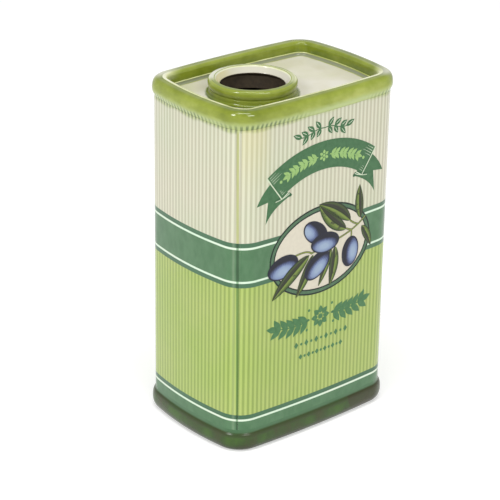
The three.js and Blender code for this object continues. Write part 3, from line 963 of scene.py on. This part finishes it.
def ribbon(inks):
    """A bowed ribbon with folded, swallow-tailed ends and a running vine on it."""
    art = Artwork("ribbon_banner", "ribbon_transfer", "green_print", inks,
                  "green", "pale", "vine", "deep")
    centre = Vector((0.3, 97.5))
    inner, outer, half = 43.6, 58.2, 0.635

    def ring(radius, start, end, steps=6):
        """An arc of the banner. Angles are from the upright, to the left."""
        return arc(centre, radius, math.pi / 2 + start, math.pi / 2 + end, steps)

    lanes = [ring(inner + (outer - inner) * j / 8, half, -half, 48) for j in range(9)]
    art.patch(list(zip(*lanes)), 3)
    for flip in (1, -1):
        put = mirrored((centre.x, 0), flip)
        # The tail: lanes that run from the banner to a deep notch between two points.
        top = bezier(put(31.8, 141.8), put(37.6, 137.4), put(40.6, 130.9))
        low = bezier(put(19.8, 132.6), put(31.2, 128.6), put(35.2, 120.6))
        notch = put(34.0, 131.9)
        notch_lane, lanes_across = 11, 16
        grid = [[] for _ in low]
        for j in range(lanes_across + 1):
            t = j / lanes_across
            if j < notch_lane:
                end = low[-1].lerp(notch, j / notch_lane)
            else:
                end = notch.lerp(top[-1], (j - notch_lane) / (lanes_across - notch_lane))
            start = low[0].lerp(top[0], t)
            for i, line in enumerate(grid):
                reach = i / (len(low) - 1)
                low_bow = low[i] - low[0].lerp(low[-1], reach)
                top_bow = top[i] - top[0].lerp(top[-1], reach)
                line.append(start.lerp(end, reach) + low_bow.lerp(top_bow, t))
        art.patch(grid, 0)
        # The fold under the banner's end, and the pale lines that set it off.
        fold = bezier(put(26.6, 133.2), put(23.5, 135.4), put(20.0, 134.4), put(19.6, 132.6), steps=10)
        back = bezier(put(30.5, 131.5), put(26.5, 131.8), put(23.0, 132.2), put(20.2, 131.9), steps=10)
        art.patch([[a, a.lerp(b, 0.5), b] for a, b in zip(fold, back)], 1, 3)
        art.stroke(bezier(put(21.0, 133.6), put(24.5, 131.6), put(29.5, 131.0), steps=8), 0.35, 2, 1)
        corner_in = ring(inner - 0.9, -flip * half, -flip * (half - 0.1))
        corner_out = ring(outer + 0.2, -flip * half, 0)[0]
        beside = Vector((flip * math.cos(half), -math.sin(half))) * 0.45
        art.stroke([corner_in[0].lerp(corner_out, k / 8) + beside for k in range(9)], 0.55, 3, 1)
        art.stroke(corner_in, 0.5, 3, 1)
        # Strokes of light near the ends: (radius, start and end from the banner's end, width).
        lights = [(outer - 1.2 - 1.3 * k, 0.012, 0.09 + 0.022 * (k % 3), 0.28) for k in range(4)]
        lights += [(inner + 1.1 + 1.1 * k, 0.02, 0.075 - 0.014 * k, 0.25) for k in range(3)]
        for radius, start, end, width in lights:
            line = ring(radius, -flip * (half - start), -flip * (half - end))
            art.stroke(line, width, 4, 1, lambda t: 1 - 0.8 * t)
    # Two laurel sprays run out from a rosette in the middle of the banner.
    middle = (inner + outer) / 2 - 0.2
    for flip in (1, -1):
        art.laurel(ring(middle, -flip * 0.075, -flip * 0.46, 24), 7, 4.3, 1.9, 4, 2)
        art.dot(ring(middle, -flip * 0.55, 0)[0], 0.8, 4, 2)
    art.rosette(centre + Vector((0, middle)), 3.1, 6, 4, 2)
    art.place()


def medallion(inks):
    """An oval frame round a pale ground, with an olive sprig that runs over its edge."""
    def begin(name, *used):
        return Artwork(name, "medallion_transfer", "medallion_print", inks, *used)

    centre = Vector((0.7, 98.9))
    wide, high = 32.6, 23.4
    ground = begin("medallion_ground", "ground")
    ground.disc(centre, wide - 2.2, high - 2.2, 0, 0, steps=32)
    ground.place()

    oval = begin("medallion_frame", "frame", "dark")
    for inset, width, layer, material in ((1.35, 2.5, 1, 0), (0.25, 0.8, 2, 1), (2.55, 0.7, 2, 1)):
        line = arc(centre, wide - inset, 0, 2 * math.pi, 96, (high - inset) / (wide - inset))
        oval.stroke(line, width, layer, material)
    oval.place()

    sprig = begin("sprig_leaves", "leaf")
    leaves = (  # stalk, tip, width, bend, layer
        ((16.9, 105.4), (-1.6, 122.6), 7.4, 3.0, 3),
        ((19.6, 109.2), (-1.9, 123.0), 7.2, -3.6, 3),
        ((26.4, 108.8), (25.2, 126.9), 5.8, 1.2, 3),
        ((27.4, 104.2), (34.4, 91.8), 5.0, 1.4, 3),
        ((-7.4, 97.8), (-30.2, 79.2), 7.4, -1.6, 8),
        ((-5.0, 97.4), (-15.4, 76.8), 5.8, 1.6, 3),
        ((7.1, 97.8), (-1.0, 79.2), 4.4, 0.8, 3),
        ((9.5, 98.0), (6.4, 77.4), 6.0, 2.0, 3),
    )
    for stalk, tip, width, bend, layer in leaves:
        sprig.leaf(stalk, tip, width, bend, layer, fullness=0.75)
    sprig.place()

    twigs = begin("sprig_twigs", "dark", "twig")
    lines = (  # control points
        ((29.8, 109.0), (22.0, 102.6), (13.0, 102.0), (4.0, 100.0), (-6.5, 98.2)),
        ((-5.6, 98.2), (-9.5, 101.2), (-17.0, 99.4)),
        ((20.4, 103.8), (20.6, 102.4), (20.4, 100.0)),
        ((24.6, 106.0), (22.2, 106.8), (19.4, 109.2)),
        ((20.6, 103.9), (18.8, 104.4), (16.8, 105.6)),
        ((10.8, 101.2), (9.6, 100.0), (9.4, 98.0)),
    )
    for line in lines:
        for width, layer, material in ((1.0, 4, 0), (0.55, 5, 1)):
            twigs.stroke(bezier(*line, steps=18), width, layer, material)
    twigs.place()

    olives = begin("sprig_olives", "olive", "shaded_olive")
    fruit = (  # centre, half length, half width, tilt in degrees, layer, ink
        ((-3.6, 108.6), 8.9, 5.5, -36, 5, 1),
        ((2.8, 101.9), 9.3, 5.4, -3, 7, 0),
        ((-23.8, 95.4), 9.5, 6.0, 12, 6, 0),
        ((-2.0, 90.9), 9.1, 5.9, 37, 6, 0),
        ((20.0, 92.4), 8.1, 5.7, 84, 6, 0),
    )
    for centre, long_half, short_half, tilt, layer, ink in fruit:
        olives.disc(centre, long_half, short_half, math.radians(tilt), layer, ink)
    olives.place()


def scroll(inks):
    """A frieze below the medallion: laurel sprays on both sides of a rosette."""
    art = Artwork("laurel_frieze", "scroll_transfer", "green_print", inks, "title")
    centre = Vector((1.2, 62.2))
    for flip in (1, -1):
        put = mirrored(centre, flip)
        art.laurel(bezier(put(7.2, 0), put(17.0, -2.2), put(28.5, 0.6), steps=30), 5, 7.6, 3.4, 1)
        for k in range(3):
            art.dot(put(7.6 + 0.6 * k, 5.2 - 5.2 * k), 0.75, 1)
    art.rosette(centre, 6.0, 8, 1)
    art.place()


def rules(inks):
    """Two rows of small diamonds and dots under the frieze."""
    art = Artwork("ornament_rows", "rule_transfer", "green_print", inks, "title")
    count = 11
    for height, half, tall in ((50.2, 16.4, 3.6), (43.2, 13.4, 3.0)):
        for k in range(count):
            x = 2.2 + half * (2 * k / (count - 1) - 1)
            if k % 2:
                art.dot((x, height), 0.75, 1, steps=6)
            else:
                line = [Vector((x, height + tall * (i / 8 - 0.5))) for i in range(9)]
                art.stroke(line, 2.6, 1, 0, lambda t: max(0.03, 1 - abs(2 * t - 1)))
    art.place()


# ---------------- setting

def camera():
    """The camera's place and angles, in the can's frame."""
    azimuth, elevation, roll = (math.radians(a) for a in (-40.046, 24.051, 0.901))
    data = bpy.data.cameras.new("camera")
    data.lens = 143.46
    data.sensor_width = 36.0
    data.clip_start, data.clip_end = 0.05, 20.0
    eye = add("camera", data)
    back = direction(azimuth, elevation)
    right = (-back).cross(Vector((0, 0, 1))).normalized()
    up = right.cross(-back)
    turned_right = right * math.cos(roll) + up * math.sin(roll)
    turned_up = up * math.cos(roll) - right * math.sin(roll)
    eye.matrix_world = Matrix((turned_right, turned_up, back)).transposed().to_4x4()
    eye.location = Vector((-600.7, -699.1, 496.2)) * MM
    bpy.context.scene.camera = eye


LAMP_DISTANCE = 1.4  # from a point inside the can


def softbox(name, azimuth, elevation, size, power):
    """A rectangular light that faces the can, with angles in degrees."""
    data = bpy.data.lights.new(name, "AREA")
    data.shape = "RECTANGLE"
    data.size, data.size_y = size
    data.energy = power
    lamp = add(name, data)
    towards = direction(math.radians(azimuth), math.radians(elevation))
    lamp.location = Vector((0, 0, 0.12)) + towards * LAMP_DISTANCE
    lamp.rotation_euler = (-towards).to_track_quat("-Z", "Y").to_euler()


def surroundings():
    """A white world that is darker overhead."""
    world = bpy.data.worlds.new("studio")
    world.use_nodes = True
    tree = world.node_tree
    place = tree.nodes.new("ShaderNodeTexCoord")
    apart = tree.nodes.new("ShaderNodeSeparateXYZ")
    fall = tree.nodes.new("ShaderNodeValToRGB")
    tree.links.new(place.outputs["Generated"], apart.inputs[0])
    tree.links.new(apart.outputs["Z"], fall.inputs["Fac"])
    tree.links.new(fall.outputs["Color"], tree.nodes["Background"].inputs["Color"])
    for element, position, grey in zip(fall.color_ramp.elements, (0.1, 0.6), (1, 0.5)):
        element.position = position
        element.color = (grey, grey, grey, 1)
    tree.nodes["Background"].inputs["Strength"].default_value = 0.95
    bpy.context.scene.world = world


def studio():
    """Pale floor, white surroundings and soft lights."""
    surroundings()
    bpy.context.scene.view_settings.view_transform = "Standard"
    softbox("left_box", -84, 38, (0.3, 0.4), 6)
    softbox("right_box", -8, 38, (0.55, 0.3), 5)
    softbox("top_box", -40, 76, (0.8, 0.4), 9)

    mesh = bpy.data.meshes.new("floor")
    reach = 3.0
    corners = [(-reach, -reach, 0), (reach, -reach, 0), (reach, reach, 0), (-reach, reach, 0)]
    mesh.from_pydata(corners, [], [(0, 1, 2, 3)])
    paper = Glaze("floor_paper")
    shade = paper.noise(0.01, 2).ramp((0.3, "D9D9D7"), (0.7, "DCDCDB"))
    looks = {"Base Color": shade, "Roughness": 0.9, "Emission Color": "FFFFFF",
             "Emission Strength": 0.4}
    for name, value in looks.items():
        paper.feed(paper.shader.inputs[name], value)
    mesh.materials.append(paper.material)
    add("floor", mesh)


def build():
    # The inside's material is painted dark as shade.
    cream, shaded_inside = cream_material(), shaded_inside_material()
    base_foot([foot_material(), shaded_inside])
    body_walls([cream, shaded_inside])
    top_rim([rim_material()])
    top_deck([cream, shaded_inside])
    neck_collar([neck_material(), funnel_material(), shaded_inside])
    wraps(wrap_material())
    flat_inks = {
        "green": ("37603C", "426B46"),
        "frame": ("426146", "4D6C50"),
        "deep": ("2A5132", "345A3A"),
        "dark": ("0D2118", "14291D"),
        "pale": ("BFCDB0", "CAD6BC"),
        "vine": ("88AB64", "94B770"),
        "title": ("3D6B40", "48754A", 1.4),
        "twig": ("76813A", "8A944C"),
        "ground": ("C8C1B0", "CDC7B5"),
    }
    inks = {name: ink_material(f"{name}_ink", *looks) for name, looks in flat_inks.items()}
    inks["leaf"] = leaf_material()
    inks["olive"] = olive_material("olive_ink", 0.06)
    inks["shaded_olive"] = olive_material("shaded_olive_ink", 0.6)
    for draw in (garland, ribbon, medallion, scroll, rules):
        draw(inks)


camera()
studio()
build()
